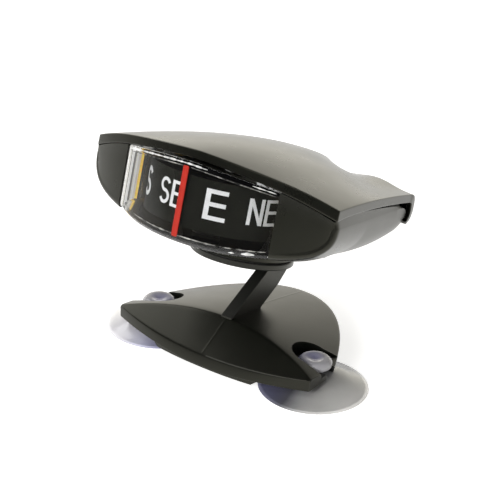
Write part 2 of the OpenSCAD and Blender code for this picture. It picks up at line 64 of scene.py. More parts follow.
# Capsule, lubber line and card drum
WINDOW_HALF, WINDOW_Y, WINDOW_R = 33.2, -45, 61
CAPSULE_WALL, CAPSULE_END_Y, CAPSULE_BEVEL, CAPSULE_REAR_ROOM, BELLY_LIP_Y = 2, 5, 1.4, 3.1, -27
LUBBER_W, LUBBER_LOW, LUBBER_HIGH, LUBBER_ROUND = 2.4, 11.3, 36.5, 0.5
CARD_Y, CARD_R = -19.6, 23

# Stand and cups
DISC_R, DISC_T, ARM_T = 19.6, 2.3, 5
FOOT_HALF, FOOT_FRONT, FOOT_REAR, RIDGE_Z, FOOT_LOW = 44.7, -21.5, 47.4, 17.8, 4
RIM_FRONT_Z, RIM_TIP_Z, RIM_REAR_Z, PLATE_TOP = 8.2, 11.2, 9.2, 9
FOOT_END, FOOT_SEAM_HALF, FOOT_SEAM_RISE = 0.5, 0.36, 0.055
POCKET_X, POCKET_Y, POCKET_R, NECK_R, RELIEF_Z = 35.2, 0.8, 7.7, 3.5, 6.3
CELL_HALF, CELL_PITCH, CELL_START, CELL_WALL, CELL_CLEAR = 4.2, 9.6, 1.9, 2.2, 17
CUP_X, CUP_R, CUP_HEAD_R, CUP_TOP = 37, 20.6, 6.5, 12.1


def on_head(p):
    """A point of the head's frame, in metres in the shared frame."""
    c, s = math.cos(LEAN), math.sin(LEAN)
    return Vector((p[0], SWIVEL_Y - MIDDLE_Y + p[1] * c + p[2] * s, SWIVEL_Z - p[1] * s + p[2] * c)) * MM


def on_floor(p):
    """A point over the floor, in metres in the shared frame."""
    return Vector((p[0], p[1] - MIDDLE_Y, p[2])) * MM


def mix(a, b, t):
    return a + (b - a) * t


def between(p, q, t):
    return tuple(mix(a, b, t) for a, b in zip(p, q))


def clamp01(t):
    return max(0.0, min(1.0, t))


def span(a, b, n):
    return [mix(a, b, k / n) for k in range(n + 1)]


def on_circle(cx, cy, r, angle):
    return cx + r * math.cos(angle), cy + r * math.sin(angle)


def circle(cx, cy, r, n=64):
    return [on_circle(cx, cy, r, 2 * math.pi * k / n) for k in range(n)]


# Meshes

def merge_close(bm, near, flat):
    """Merges points closer than near and dissolves what is thinner than flat, both in metres."""
    bmesh.ops.remove_doubles(bm, verts=bm.verts, dist=near)
    bmesh.ops.dissolve_degenerate(bm, dist=flat, edges=bm.edges)


def face_outward(bm):
    bmesh.ops.recalc_face_normals(bm, faces=bm.faces)


def edit(me, change, *values):
    """Runs one change of a bmesh on a mesh."""
    bm = bmesh.new()
    bm.from_mesh(me)
    change(bm, *values)
    bm.to_mesh(me)
    bm.free()


def obj_of(name, data):
    ob = bpy.data.objects.new(name, data)
    bpy.context.scene.collection.objects.link(ob)
    return ob


class Sheet:
    """Points and faces of one mesh; points that share a place are merged at the end."""

    def __init__(self):
        self.verts, self.faces, self.slots = [], [], []

    def grid(self, rows, flip=False, slot=0):
        """Faces between rows of equally many points."""
        base, n = len(self.verts), len(rows[0])
        for r in rows:
            self.verts += [tuple(p) for p in r]
        for j in range(len(rows) - 1):
            for i in range(n - 1):
                a = base + j * n + i
                f = (a, a + 1, a + n + 1, a + n)
                self.faces.append(f[::-1] if flip else f)
                self.slots.append(slot)

    def cap(self, points, slot=0):
        """One face over a closed line of points."""
        base = len(self.verts)
        self.verts += points
        self.faces.append(tuple(range(base, base + len(points))))
        self.slots.append(slot)

    def mesh(self, name, place, merge=1e-6):
        me = bpy.data.meshes.new(name)
        me.from_pydata([place(v) for v in self.verts], [], self.faces)
        me.polygons.foreach_set("material_index", self.slots)
        edit(me, merge_close, merge, merge)
        return me

    def body(self, name, place, merge=1e-6):
        """An object of the sheet, with its faces turned outward."""
        ob = obj_of(name, self.mesh(name, place, merge))
        edit(ob.data, face_outward)
        return ob


def settle(ob):
    """Applies the modifiers of an object."""
    dg = bpy.context.evaluated_depsgraph_get()
    me = bpy.data.meshes.new_from_object(ob.evaluated_get(dg))
    ob.modifiers.clear()
    ob.data = me
    return ob


def boolean(ob, cutters, operation="DIFFERENCE"):
    """Cuts or joins objects one by one, and merges points left a few thousandths of a millimetre apart."""
    for c in cutters:
        m = ob.modifiers.new("cut", "BOOLEAN")
        m.operation, m.object, m.solver = operation, c, "EXACT"
        edit(settle(ob).data, merge_close, 4e-6, 1e-7)
        bpy.data.objects.remove(c)
    return ob


def soften(ob, width, angle, segments):
    """Rounds the edges that are sharper than angle."""
    m = ob.modifiers.new("bevel", "BEVEL")
    m.width, m.segments, m.limit_method = width * MM, segments, "ANGLE"
    m.angle_limit = math.radians(angle)
    m.use_clamp_overlap = True
    m.miter_outer = "MITER_ARC"
    return settle(ob)


def walls_between(n):
    """Faces between two outlines of n points each."""
    return [(i, (i + 1) % n, n + (i + 1) % n, n + i) for i in range(n)]


def prism(name, outline, lo, hi, place):
    """A closed upright prism over an outline in x and y."""
    s, n = Sheet(), len(outline)
    s.verts = [(x, y, z) for z in (lo, hi) for x, y in outline]
    s.faces = [tuple(range(n))[::-1], tuple(range(n, 2 * n))] + walls_between(n)
    s.slots = [0] * len(s.faces)
    return s.body(name, place)


REVOLVE_STEPS = 128


def revolve(name, profile, centre, place):
    """A body of revolution round z from (radius, height) points, closed where they reach the axis."""
    s, n = Sheet(), REVOLVE_STEPS
    s.grid([[(*on_circle(*centre, r, 2 * math.pi * k / n), h) for k in range(n + 1)] for r, h in profile])
    return s.body(name, place)


# Forms of the head, in its own frame

def half_w(y):
    """Half the width of the top."""
    return HEAD_HALF - SIDE_TAPER * (y - CORNER_Y)


def side_z(y):
    """Height of the crease between top and side."""
    return CREASE_Z - CREASE_FALL * y * y


def brow_at(x):
    """The front edge of the top."""
    return BROW_Y + BROW_SWEEP * (x / HEAD_HALF) ** 2


def band_at(x):
    """Height of the brow band, which grows into the rim band at the corners."""
    return mix(BROW_BAND, RIM_BAND + BAND_FLARE, (x / HEAD_HALF) ** 2)


def bay_share(x):
    """1 in the middle of the rear bay, 0 beside it."""
    return 0.5 + 0.5 * math.cos(math.pi * clamp01(abs(x) / BAY_HALF))


def nose_at(x):
    """Where the crown ends and the rear lip begins to turn."""
    return mix(NOSE_Y, NOSE_BAY_Y, bay_share(x))


def crown(x, y):
    """Height of the top: flat wings, a middle hump and two rear lobes, as curves of t from brow to rear."""
    t, r = (y + 40) / 80, min(1.0, abs(x) / half_w(y))
    wing = 1.8 + 1.25 * t - 2.2 * t * t
    hump = 6.55 + 6.05 * t - 8.5 * t * t
    spread = 57 - 31 * t - 17.8 * t * t
    sharp = 1.56 + 1.32 * t
    lobe = LOBE_RISE * max(t, 0) ** 3 * math.exp(-((abs(x) - LOBE_X) / LOBE_SPREAD) ** 2)
    raised = hump * math.exp(-(abs(x) / spread) ** sharp) + lobe
    return side_z(y) + wing * (1 - r * r) + raised * (1 - r ** 6)


def belly_half(y):
    """Half the width of the lower shell: a little more than the top in front, less behind."""
    return half_w(y) + mix(0.6, -1.2, clamp01((y - CORNER_Y) / 66))


def belly_line(y):
    """Height at which the belly meets the upright sides."""
    return BELLY_LINE + BELLY_SLOPE * (y - CORNER_Y)


def belly_at(x, y):
    """Height of the boat-shaped belly: a superellipse across, shallower in front and behind."""
    r = min(1.0, abs(x) / belly_half(y))
    front = 0.5 - 0.5 * math.cos(math.pi * clamp01((-y - 12) / 23))
    p = 2.3 + 0.3 * front + 2.7 * (max(y, 0) / 40) ** 1.3
    depth = BELLY_DEPTH - (4.8 * front if y < 0 else 0.35 * y * y / (y + 12))
    return belly_line(y) - depth * (1 - r ** p) ** (1 / p)


def spread_out(n, support):
    """Shares from -1 to 1, with close pairs at both ends that keep the edges crisp when smoothed."""
    out = [math.copysign(abs(u) ** 1.15, u) * (1 - 2 * support) for u in span(-1, 1, n)]
    return [-1, -1 + support] + out[1:-1] + [1 - support, 1]


EDGE_SUPPORT = 0.007


def top_patches(d):
    """The top shell's skin, inset by d: crown with rear lip, two side bands, front band, and their lower rim."""
    cols = spread_out(72, EDGE_SUPPORT)
    # Along the shell: shares of the crown from brow to nose, then degrees round the rear lip
    marks = [("crown", s) for s in [0, EDGE_SUPPORT] + span(0.02, 1, 40)]
    marks += [("nose", t) for t in span(0, NOSE_TURN, 22)[1:]]

    def point(a, mark, f):
        """The point at share a of the half width and f of the way down the side band."""
        kind, along = mark
        cut = mix(d, RIM_BAND, f)
        xf = (HEAD_HALF - d) * a
        if kind == "crown":
            y = mix(brow_at(xf) + d, nose_at(xf), along)
            x = (half_w(y) - d) * a
            if f == 0:
                return x, y, crown(x, y) - d
            return x, y, side_z(y) - cut - BAND_FLARE * f * math.exp(-14 * along)
        turn, start = math.radians(along), nose_at(xf)
        pinch = mix(0.025, 0.01, f) * math.sin(min(turn, math.pi / 2)) ** 2
        x = (half_w(start) - d) * a * (1 - pinch)
        reach = LOBE_END_Y - BAY_DEPTH * bay_share(x) - start - cut
        rise = (NOSE_Z - LIP_Z) * 1.1 - cut * 0.4
        if turn < math.pi / 2:
            rise = crown(x, start) - NOSE_Z - cut
        return x, start + reach * max(math.sin(turn), 0) ** 0.85, NOSE_Z + rise * math.cos(turn)

    def low(a):
        """The lower edge of the front band."""
        xf, k = (HEAD_HALF - d) * a, abs(a) ** 12
        yf = brow_at(xf) + d
        return xf * (1 - 0.015 * (1 - k)), yf - BROW_LEAN * mix(1, 0.3, k), crown(xf, yf - d) - band_at(xf)

    main = [[point(a, m, 0) for a in cols] for m in marks]
    steps = [0, 0.12, 0.5, 0.88, 1]
    sides = [[[point(e, m, f) for m in marks] for f in steps] for e in (-1, 1)]
    front = [[between(point(a, marks[0], 0), low(a), g) for a in cols] for g in steps]
    for end, side in ((0, sides[0]), (-1, sides[1])):
        for k in range(len(steps)):
            side[k][0] = front[k][end]
    rim = sides[0][-1][::-1] + front[-1][1:-1] + sides[1][-1]
    return {"main": main, "sides": sides, "front": front, "rim": rim}


def top_cover():
    """The top shell: closed between an outer and an inner skin, and smoothed once."""
    s = Sheet()
    outer, inner = top_patches(0), top_patches(WALL)
    for skin, flip in ((outer, False), (inner, True)):
        s.grid(skin["main"], flip)
        s.grid(skin["sides"][0], not flip)
        s.grid(skin["sides"][1], flip)
        s.grid(skin["front"], not flip)

    def lip(p, q, flip=False):
        """The edge between the two skins, with a row of its own in the middle."""
        s.grid([p, [between(a, b, 0.5) for a, b in zip(p, q)], q], flip)

    lip(outer["rim"], inner["rim"])
    lip(outer["main"][-1], inner["main"][-1], True)
    for e in (0, 1):
        ends = [[row[-1] for row in skin["sides"][e]] for skin in (outer, inner)]
        lip(*ends, e == 0)
    ob = s.body("top_cover", on_head, 1e-7)
    m = ob.modifiers.new("smooth", "SUBSURF")
    m.levels = m.render_levels = 1
    return settle(ob)


def capsule_low(x):
    return belly_at(x, -38) - 0.3 + 0.5 * (x / WINDOW_HALF) ** 2


def capsule_high(x):
    return crown(x, brow_at(x)) - band_at(x) - 0.4


def lower_patches(d):
    """The lower shell's skin, inset by d: its floor, its four walls and their upper rim."""
    cols = [math.sin(math.pi / 2 * u) for u in span(-1, 1, 96)]
    # Shares of the length of 82 mm, close together where the front corner rolls
    marks = [v / 82 for v in (0, 0.15, 0.4, 0.8, 1.3, 1.8, 2.4)] + span(0, 1, 64)[3:]
    steps = [0, 0.03] + span(0, 1, 4)[1:]

    def at(a, s, top=0):
        """The point at share a of the half width and s of the length, top of the way up the wall."""
        xg = (HEAD_HALF + 1) * a
        y = mix(brow_at(xg) - BROW_LEAN + d, LOWER_END_Y - d, s)
        ahead, roll = CHEEK_ROLL - (y - brow_at(xg) + BROW_LEAN), 0
        if d == 0 and ahead > 0:
            roll = CHEEK_ROLL - math.sqrt(max(0, CHEEK_ROLL ** 2 - ahead ** 2))
        roll *= 1 - 0.8 * top
        x = (belly_half(y) - d - roll) * a
        close = clamp01((y + d - 34) / 6.4) ** 2.5
        base, skin = belly_line(y), belly_at(a * belly_half(y), y)
        rise = roll * (base - skin) / (base - belly_at(0, y))
        low = mix(skin + rise + d, TAIL_Z, close * 0.5)
        seam = side_z(y) - RIM_BAND - SEAM_GAP - SEAM_OPEN * clamp01((y + 10) / 45)
        high = mix(seam, TAIL_Z + 0.5, close * 0.8)
        if s == 0:
            high = crown(x, brow_at(x)) - band_at(x) - SEAM_GAP
        return x * mix(1, 0.985, top), y, mix(low, high, top)

    floor = [[at(a, s) for a in cols] for s in marks]
    walls = [[[at(a, 0, f) for a in cols] for f in steps],
             [[at(1, s, f) for s in marks] for f in steps],
             [[at(a, 1, f) for a in cols[::-1]] for f in steps],
             [[at(-1, s, f) for s in marks[::-1]] for f in steps]]
    rim = walls[0][-1] + [p for wall in walls[1:] for p in wall[-1][1:]]
    return floor, walls, rim


def capsule_space():
    """What the lower shell leaves free for the capsule, open to the front and the top."""
    space, sections = Sheet(), []
    rear = CAPSULE_END_Y + CAPSULE_REAR_ROOM
    for x in span(-WINDOW_HALF - 0.2, WINDOW_HALF + 0.2, 40):
        low = capsule_low(max(-WINDOW_HALF, min(WINDOW_HALF, x))) - 0.12
        section = [(-60, 0), (-60, 60), (rear, 60), (rear, low), (BELLY_LIP_Y, low), (BELLY_LIP_Y, 0)]
        sections.append([(x, y, z) for y, z in section + section[:1]])
    space.grid(sections)
    for end in (sections[0], sections[-1]):
        space.cap(end[:-1])
    return space.body("space", on_head)


def lower_cover():
    """The lower shell with its round boss over the swivel, and all its openings."""
    s, rims = Sheet(), []
    for (floor, walls, rim), flip in ((lower_patches(0), False), (lower_patches(WALL), True)):
        s.grid(floor, not flip)
        for wall in walls:
            s.grid(wall, flip)
        rims.append(rim)
    s.grid(rims)
    ob = s.body("lower_cover", on_head)
    boss = [(0, 2.7), (DISC_R - 0.6, 2.7), (DISC_R - 0.2, 3.1), (DISC_R - 0.2, 8.7), (0, 8.7)]
    boolean(ob, [revolve("boss", boss, (0, 0), on_head)], "UNION")
    cutters = [capsule_space(), prism("seat", circle(0, 0, SEAT_R), SEAT_LOW, SEAT_HIGH, on_head),
               prism("bore", circle(0, 0, BORE_R), 0, 10, on_head)]
    cutters += [prism("rotor", circle(*p, ROTOR_R, 48), 0, 20, on_head) for p in ROTOR_SPOTS]
    cutters += [prism("recess", circle(*p, RECESS_R, 48), 0, belly_at(*p) + RECESS_DEPTH, on_head)
                for p in POST_SPOTS]
    return boolean(ob, cutters)


# Capsule

def window_front(x, d=0.0):
    """The window's cylinder, inset by d."""
    return WINDOW_Y + WINDOW_R - math.sqrt((WINDOW_R - d) ** 2 - x * x)


def capsule_skin(s, d, bevel, slot, flip):
    """The capsule's faces, inset by d, with a bevel along the lower front edge. Returns the open rear's ring."""
    xs = span(-(WINDOW_HALF - d), WINDOW_HALF - d, 60)

    def ys(x):
        front = window_front(x, d)
        near = span(front, front + bevel, 2)[:-1] if bevel else []
        return near + [mix(front + bevel, CAPSULE_END_Y, t ** 1.4) for t in span(0, 1, 26)]

    def low(x, y):
        return capsule_low(x) + d + max(0, bevel - (y - window_front(x, d)))

    def zs(x, y):
        return span(low(x, y), capsule_high(x) - d, 24)

    s.grid([[(x, window_front(x, d), z) for z in zs(x, window_front(x, d))] for x in xs], not flip, slot)
    s.grid([[(x, y, capsule_high(x) - d) for y in ys(x)] for x in xs], not flip, slot)
    s.grid([[(x, y, low(x, y)) for y in ys(x)] for x in xs], flip, slot)
    for x, turn in ((xs[0], False), (xs[-1], True)):
        s.grid([[(x, y, z) for z in zs(x, y)] for y in ys(x)], flip != turn, slot)
    rear = CAPSULE_END_Y
    ring = [(x, rear, capsule_low(x) + d) for x in xs]
    ring += [(xs[-1], rear, z) for z in zs(xs[-1], rear)[1:]]
    ring += [(x, rear, capsule_high(x) - d) for x in xs[::-1][1:]]
    ring += [(xs[0], rear, z) for z in zs(xs[0], rear)[::-1][1:]]
    return ring


def capsule():
    """The clear capsule: outer faces against the air in slot 0, inner faces against the liquid in slot 1."""
    s = Sheet()
    outer = capsule_skin(s, 0, CAPSULE_BEVEL, 0, False)
    inner = capsule_skin(s, CAPSULE_WALL, 0, 1, True)
    s.grid([outer, inner])
    return soften(s.body("clear_capsule", on_head), 0.45, 40, 3)


# Pitches of the ribs in the end walls, and the slots of their painted light: 0 painted highlight, 1 painted half
# light, 2 painted shade
RIB_PITCHES = (1.3, 0.8, 1.9, 1.1, 0.7, 1.6, 2.2, 0.9, 1.4, 2.6, 1.2, 0.8, 3.1, 1.0, 1.7, 2.4, 0.9, 2.8, 1.5,
               2.0, 3.0)
RIB_PAINTED_LIGHTS = (0, 0, 1, 0, 0, 2, 0, 1, 0, 0, 1, 0, 2, 0, 1, 0, 0, 1, 0, 2, 0)
AMBER_Y, AMBER_SLOT, RIBS_END_Y = -6.6, 3, -0.4
RIB_INSET, RIB_EDGE, RIB_DEPTH = 0.15, 0.7, 1.3


def end_ribs():
    """The upright ribs moulded in both end walls of the capsule, the last of them a tinted strip; the others are
    painted in lit, half-lit and shaded tones.
    """
    s = Sheet()
    wall = WINDOW_HALF - RIB_INSET
    levels = capsule_low(wall) + RIB_EDGE, capsule_high(wall) - RIB_EDGE
    for side in (-1, 1):
        y, line, tones = window_front(wall) + 0.5, [], []
        for k in range(40):
            pitch = RIB_PITCHES[k % len(RIB_PITCHES)]
            if y + pitch > RIBS_END_Y:
                break
            top = wall - RIB_INSET - min(0.7 * pitch, RIB_DEPTH)
            line += [(wall - RIB_INSET, y), (top, y + pitch * 0.72), (top, y + pitch * 0.82)]
            tones += [AMBER_SLOT if y > AMBER_Y else RIB_PAINTED_LIGHTS[k % len(RIB_PAINTED_LIGHTS)]] * 3
            y += pitch
        line.append((wall - RIB_INSET, y))

        def at(level, flat, k):
            """Corner k of the ribbed line, or of the flat one at the wall, at the lower or upper level."""
            return side * (wall if flat else line[k][0]), line[k][1], levels[level]

        for k, slot in enumerate(tones):
            for flat in (0, 1):
                s.grid([[at(level, flat, k), at(level, flat, k + 1)] for level in (0, 1)], slot=slot)
            for level in (0, 1):
                s.grid([[at(level, flat, k), at(level, flat, k + 1)] for flat in (0, 1)], slot=slot)
        for k, slot in ((0, 0), (len(tones), AMBER_SLOT)):
            s.grid([[at(level, 0, k), at(level, 1, k)] for level in (0, 1)], slot=slot)
    return s.body("end_ribs", on_head)


def painted_highlight_beads():
    """Thin uneven beads along the top and the bottom of the window, whose colours are painted highlights where
    the capsule's inner edges catch the light.
    """
    s = Sheet()

    def bead(x0, x1, size, wave, depth, drop, top, slot):
        """A bead of radius size, give or take wave, depth behind the window and drop inside its edge."""
        n = max(8, int((x1 - x0) / 0.5))
        rows = []
        for k, x in enumerate(span(x0, x1, n)):
            r = size + wave * (0.5 * math.sin(1.7 * x + 0.4) + 0.3 * math.sin(0.61 * x)
                               + 0.35 * math.sin(3.9 * x))
            r = max(r, 0.06) * min(1, 0.25 + k / 4, 0.25 + (n - k) / 4)
            y = window_front(x, depth)
            z = capsule_high(x) - drop if top else capsule_low(x) + drop
            rows.append([(x, y + r * math.cos(v), z + r * math.sin(v)) for v in span(0, 2 * math.pi, 8)])
        s.grid(rows, slot=slot)
        for row in (rows[0], rows[-1]):
            s.cap(row[:-1], slot)

    # Beads of painted streaks inside the wall, then painted glints in its thickness
    inside = CAPSULE_WALL + 0.36, CAPSULE_WALL + 0.4
    bead(-31, 31, 0.13, 0.08, *inside, True, 0)
    bead(-31, 31, 0.2, 0.13, *inside, False, 0)
    bead(-32, 8, 0.26, 0.2, 1.1, 1.15, True, 1)
    bead(24, 31.5, 0.2, 0.16, 1.1, 1.15, True, 1)
    bead(-32, -23, 0.55, 0.3, 1.1, 1.2, True, 1)
    bead(20.2, 22.2, 0.26, 0.1, 1.2, 1.3, False, 1)
    bead(24.4, 28.4, 0.5, 0.12, 1.3, 1.4, False, 1)
    return s.body("painted_highlight_beads", on_head)


# Letters: height, stroke and middle; widths; and what a pair of letters has of width, height and stroke
LETTER_H, LETTER_T, LETTER_MID, LETTER_GAP = 10.8, 1.5, 25.3, 0.9
WIDTHS = {"E": 8.0, "N": 8.6, "S": 7.4, "W": 10.4}
PAIR_W, PAIR_H, PAIR_T = 0.72, 0.87, 0.74
LETTER_OUT, LETTER_IN = 0.09, 0.05
E_ANGLE = 30.4


def letter(kind, w, h, t):
    """Outline of a capital, w wide and h high, with strokes of t and slightly wider uprights."""
    u = t * 1.22
    if kind == "E":
        m = (h - t) / 2 + 0.15
        return [(0, 0), (w, 0), (w, t), (u, t), (u, m), (w - 0.4, m), (w - 0.4, m + t), (u, m + t),
                (u, h - t), (w - 0.1, h - t), (w - 0.1, h), (0, h)]
    if kind == "N":
        k = u * 1.08
        return [(0, 0), (u, 0), (u, h - k * 1.75), (w - k, 0), (w, 0), (w, h), (w - u, h), (w - u, k * 1.75),
                (k, h), (0, h)]
    if kind == "W":
        k, q = u * 1.02, w / 4
        return [(0, h), (q - k * 0.5, 0), (q + k * 0.5, 0), (2 * q, h - t * 2), (3 * q - k * 0.5, 0),
                (3 * q + k * 0.5, 0), (w, h), (w - k, h), (3 * q, t * 2), (2 * q + k * 0.5, h),
                (2 * q - k * 0.5, h), (q, t * 2), (k, h)]
    t *= 1.08
    rx, ry = (w - t) / 2, (h - t) / 4
    line = [(w / 2 + rx * math.cos(a), h - t / 2 - ry + ry * math.sin(a))
            for a in map(math.radians, span(22, 262, 26))]
    line += [(w / 2 + rx * math.cos(a), t / 2 + ry + ry * math.sin(a))
             for a in map(math.radians, span(82, -158, 26))]
    left, right = [], []
    for k, p in enumerate(line):
        q, r = line[max(k - 1, 0)], line[min(k + 1, len(line) - 1)]
        dx, dy = r[0] - q[0], r[1] - q[1]
        n = math.hypot(dx, dy)
        left.append((p[0] - dy / n * t / 2, p[1] + dx / n * t / 2))
        right.append((p[0] + dy / n * t / 2, p[1] - dx / n * t / 2))
    return left + right[::-1]


def add_letter(bm, c, x0, w, h, t, middle):
    """Adds a letter that starts at x0 along the drum, cut into narrow strips so that it bends with it."""
    outline = [Vector((x + x0, z + LETTER_MID - h / 2, 0)) for x, z in letter(c, w, h, t)]
    part = bmesh.new()
    vs = [part.verts.new(p) for p in outline]
    for tri in tessellate_polygon([outline]):
        part.faces.new([vs[i] for i in tri])
    for x in span(x0, x0 + w, 12)[1:-1]:
        bmesh.ops.bisect_plane(part, geom=part.verts[:] + part.edges[:] + part.faces[:],
                               plane_co=(x, 0, 0), plane_no=(1, 0, 0))
    face_outward(part)
    made = bmesh.ops.extrude_face_region(part, geom=part.faces[:])
    lifted = {v for v in made["geom"] if isinstance(v, bmesh.types.BMVert)}
    for v in part.verts:
        r = CARD_R + (LETTER_OUT if v in lifted else -LETTER_IN)
        angle = middle + v.co.x / CARD_R
        v.co = on_head((r * math.sin(angle), CARD_Y - r * math.cos(angle), v.co.y))
    face_outward(part)
    me = bpy.data.meshes.new("part")
    part.to_mesh(me)
    bm.from_mesh(me)
    part.free()
    bpy.data.meshes.remove(me)


def letters():
    """The eight points of the card as thin raised letters round the drum."""
    bm = bmesh.new()
    for k, word in enumerate(("S", "SE", "E", "NE", "N", "NW", "W", "SW")):
        pair = len(word) == 2
        widths = [WIDTHS[c] * (PAIR_W if pair else 1) for c in word]
        h, t, gap = LETTER_H, LETTER_T, 0
        if pair:
            h, t, gap = LETTER_H * PAIR_H, LETTER_T * PAIR_T, LETTER_GAP
        x0 = -(sum(widths) + gap * (len(word) - 1)) / 2
        middle = math.radians(E_ANGLE + 45 * (k - 2))
        for c, w in zip(word, widths):
            add_letter(bm, c, x0, w, h, t, middle)
            x0 += w + gap
    merge_close(bm, 2e-6, 1e-6)
    me = bpy.data.meshes.new("card_letters")
    bm.to_mesh(me)
    bm.free()
    return obj_of("card_letters", me)


def lubber():
    """The red strip on the window, with rounded corners and eased edges."""
    r, w = LUBBER_ROUND, LUBBER_W / 2 - LUBBER_ROUND
    turn = [on_circle(0, 0, 1, math.radians(v)) for v in span(0, 90, 6)]
    top = [(w + r * c, LUBBER_HIGH - r + r * q) for c, q in turn]
    top += [(-w - r * q, LUBBER_HIGH - r + r * c) for c, q in turn]
    outline = top + [(-x, LUBBER_LOW + LUBBER_HIGH - z) for x, z in top]
    s, half = Sheet(), len(top)
    rows = [[(x * shrink, window_front(x, -lift), z) for x, z in outline + outline[:1]]
            for lift, shrink in ((0, 1), (0.22, 1), (0.3, 0.92))]
    s.grid(rows)
    for row in (rows[0], rows[-1]):
        s.grid([row[:half], row[half:-1][::-1]])
    return s.body("lubber_strip", on_head)


# Stand: lines and heights of the foot, with r from -1 to 1 across it

def front_line(r):
    return FOOT_FRONT + 7.1 * abs(r) ** 2.2


def rear_line(x):
    return FOOT_REAR - 0.0202 * x * x - 1.6e-6 * x ** 4


def ridge_y(r):
    return -5.3 - 8.5 * r * r


def ridge_height(r):
    return RIDGE_Z - 6.4 * r * r


def rim_height(r):
    return mix(RIM_FRONT_Z, RIM_TIP_Z, r * r)


def foot_low_z(r):
    """The lower edge, which rises from the plinth to the tips."""
    return FOOT_LOW + 2.6 * clamp01((abs(r) - 0.2) / 0.8) ** 0.9


def foot_z(x, y):
    """Height of the foot's top: straight up to the ridge, then curved down to the rear rim."""
    r = x / FOOT_HALF
    top, front, back, ridge = ridge_height(r), front_line(r), rear_line(x), ridge_y(r)
    if y < ridge:
        return mix(rim_height(r), top, (y - front) / (ridge - front))
    return mix(top, RIM_REAR_Z, ((y - ridge) / (back - ridge)) ** 1.25)


FILLET_STEPS = 4


def fillet(points, radii):
    """Rounds the corners of a line of points in y and z; how many points come out depends on radii alone."""
    out = []
    for k, (p, r) in enumerate(zip(points, radii)):
        if not r:
            out.append(p)
            continue
        near = []
        for q in (points[k - 1], points[(k + 1) % len(points)]):
            near.append(between(p, q, min(r / math.hypot(q[0] - p[0], q[1] - p[1]), 0.45)))
        for t in span(0, 1, FILLET_STEPS):
            out.append(tuple((1 - t) ** 2 * near[0][i] + 2 * t * (1 - t) * p[i] + t * t * near[1][i]
                             for i in (0, 1)))
    return out


def foot_section(r):
    """The foot's outline in y and z at r, with rounded edges and the fine seam down its middle."""
    x = FOOT_HALF * r
    front, rear, ridge = front_line(r), rear_line(x), ridge_y(r)
    rim, top, low = rim_height(r), ridge_height(r), foot_low_z(r)
    seam = FOOT_SEAM_RISE * math.exp(-(x / FOOT_SEAM_HALF) ** 2)
    line = [(front, low), (front + 1.2 * (1 - r * r), rim)]
    line += [(mix(line[1][0], ridge, f), mix(rim, top, f) + seam) for f in (0.08, 0.3, 0.6, 0.9)]
    line.append((ridge, top))
    shares = [0.06, 0.12] + span(0.2, 0.95, 12)
    line += [(mix(ridge, rear, f), mix(top, RIM_REAR_Z, f ** 1.25) + seam) for f in shares]
    line += [(rear, RIM_REAR_Z), (rear - 0.5, low)]
    radii = [0.35, 0.5, 0, 0, 0, 0, 0.9] + [0] * len(shares) + [0.7, 0.35]
    upper = fillet(line, radii)
    return upper + [(mix(upper[-1][0], upper[0][0], f), low) for f in span(0, 1, 10)[1:-1]]


def drawn_in(points, d):
    """A section a little smaller, for the rounded tips."""
    cy = sum(p[0] for p in points) / len(points)
    cz = sum(p[1] for p in points) / len(points)
    return [(p[0] + d * (1 if p[0] < cy else -1), p[1] + d * (1 if p[1] < cz else -1) * 0.8) for p in points]


# The rounded edge between front rim and front facets, lighter by a painted highlight: faces of a section, and
# their slot
HIGHLIGHT_FACES, HIGHLIGHT_SLOT = (7, 8), 1


def foot_body():
    """The foot's solid form, from tip to tip."""
    end = FOOT_END / FOOT_HALF
    rs = span(-1 + end, 1 - end, 96)
    rs = sorted(rs + [e * x / FOOT_HALF for e in (-1, 1) for x in (0.18, 0.36, 0.6)])
    rows = [[(FOOT_HALF * r, y, z) for y, z in foot_section(r)] for r in rs]
    for e in (-1, 1):
        last = foot_section(rs[0 if e < 0 else -1])
        tip = [[(e * (FOOT_HALF - FOOT_END + out), y, z) for y, z in drawn_in(last, d)]
               for out, d in ((0.3, 0.1), (0.5, 0.4))]
        rows = tip[::-1] + rows if e < 0 else rows + tip
    s, n = Sheet(), len(rows[0])
    s.grid([row + row[:1] for row in rows])
    # The rounded front edge gets the painted highlight
    for j, row in enumerate(rows[:-1]):
        if 1 < row[0][0] < FOOT_HALF - 2:
            for i in HIGHLIGHT_FACES:
                s.slots[j * n + i] = HIGHLIGHT_SLOT
    for row in (rows[0], rows[-1]):
        s.cap(row)
    return s.body("foot", on_floor)


def cup_cutters(side):
    """The pocket for a cup's head, the slot for its neck and the room over its dome."""
    pocket = [on_circle(POCKET_X, POCKET_Y, POCKET_R, math.radians(v)) for v in span(102, 258, 40)]
    pocket = [(POCKET_X, POCKET_Y + POCKET_R)] + pocket + [(POCKET_X, POCKET_Y - POCKET_R), (50, -7.2), (50, 14)]
    neck = [on_circle(CUP_X, 0, NECK_R, math.radians(v)) for v in span(90, 270, 24)]
    neck = [(CUP_X + 20, NECK_R)] + neck + [(CUP_X + 20, -NECK_R)]
    relief = [(0, 0), (26, 0), (9, RELIEF_Z), (0, RELIEF_Z)]
    return [prism("pocket", [(side * x, y) for x, y in pocket], PLATE_TOP, 30, on_floor),
            prism("neck", [(side * x, y) for x, y in neck], -1, 30, on_floor),
            revolve("relief", relief, (side * CUP_X, 0), on_floor)]


